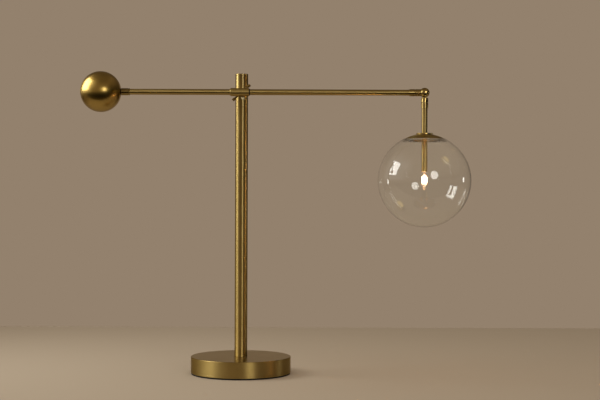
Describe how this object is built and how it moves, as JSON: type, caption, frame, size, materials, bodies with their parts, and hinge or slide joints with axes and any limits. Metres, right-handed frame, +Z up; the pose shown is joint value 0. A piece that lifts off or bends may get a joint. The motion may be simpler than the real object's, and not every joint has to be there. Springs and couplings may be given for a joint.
{
  "type": "table lamp",
  "caption": "Counterbalanced table lamp: round weighted base, column with swivelling head, tilting arm with a ball counterweight and a clear glass globe hung from a knuckle.",
  "frame": {"origin": "on the table under the middle of the round base, on the pad's flat underside", "axes": "+X along the arm towards the globe, -Y to the front where the arm passes the column, +Z up the column"},
  "size_m": [0.6703, 0.191, 0.52],
  "materials": {
    "brushed_brass": "satin",
    "satin_brass": "satin",
    "polished_brass": "polished",
    "cast_iron": "matte",
    "zinc_steel": "satin",
    "black_rubber": "matte",
    "clear_silicone": "satin",
    "white_nylon": "matte",
    "cable_sheath": "satin",
    "clear_glass": "gloss",
    "lamp_glass": "gloss",
    "filament": "gloss",
    "ceramic": "matte"
  },
  "bodies": {
    "base": {"base_cover": "brushed_brass", "base_weight": "cast_iron", "base_pad": "black_rubber", "base_nipple": "zinc_steel", "base_washer": "zinc_steel", "base_nut": "zinc_steel", "cord_inlet_bush": "black_rubber", "terminal_block": "white_nylon", "column_tube": "brushed_brass", "column_foot_plug": "satin_brass", "column_top_bush": "satin_brass", "column_cable": "cable_sheath"},
    "head": {"head_tube": "brushed_brass", "top_cap": "satin_brass", "head_screw": "satin_brass", "outer_saddle": "satin_brass", "inner_saddle": "satin_brass", "head_cable": "cable_sheath"},
    "lock": {"lock_nut": "satin_brass", "lock_pins": "satin_brass"},
    "arm": {"cross_sleeve": "satin_brass", "pivot_stud": "satin_brass", "stud_nut": "zinc_steel", "sleeve_bush_left": "polished_brass", "sleeve_bush_right": "polished_brass", "arm_tube_left": "satin_brass", "arm_tube_right": "satin_brass", "arm_cable": "cable_sheath", "ball_collar": "satin_brass", "ball_washer": "black_rubber", "ball_stud": "zinc_steel", "ball_half_inner": "satin_brass", "ball_half_outer": "satin_brass", "ball_core": "cast_iron", "elbow_collar": "satin_brass", "knuckle_fork": "satin_brass", "knuckle_screw": "satin_brass", "knuckle_nut": "satin_brass", "knuckle_washers": "white_nylon"},
    "drop": {"knuckle_tongue": "satin_brass", "drop_collar": "satin_brass", "drop_rod": "satin_brass", "cap_disc": "polished_brass", "globe_cap": "polished_brass", "cap_gasket": "clear_silicone", "cap_nipple": "zinc_steel", "clip_spring": "zinc_steel", "hub_nut": "zinc_steel", "globe_glass": "clear_glass", "stem_tube": "satin_brass", "lamp_holder": "ceramic", "bulb_pins": "zinc_steel", "bulb_glass": "lamp_glass", "bulb_filament": "filament", "drop_cable": "cable_sheath"}
  },
  "joints": [
    {"name": "head_swivel", "type": "hinge", "parent": "base", "child": "head", "pos_m": [0, 0, 0.462], "axis": [0, 0, 1], "range_deg": [-165, 165]},
    {"name": "arm_tilt", "type": "hinge", "parent": "head", "child": "arm", "pos_m": [0, -0.014, 0.485], "axis": [0, -1, 0], "range_deg": [-30, 30]},
    {"name": "lock_turn", "type": "hinge", "parent": "arm", "child": "lock", "pos_m": [0, -0.014, 0.485], "axis": [0, -1, 0], "range_deg": [0, 30]},
    {"name": "knuckle_tilt", "type": "hinge", "parent": "arm", "child": "drop", "pos_m": [0.3145, -0.02295, 0.485], "axis": [0, -1, 0], "range_deg": [-20, 90]}
  ]
}
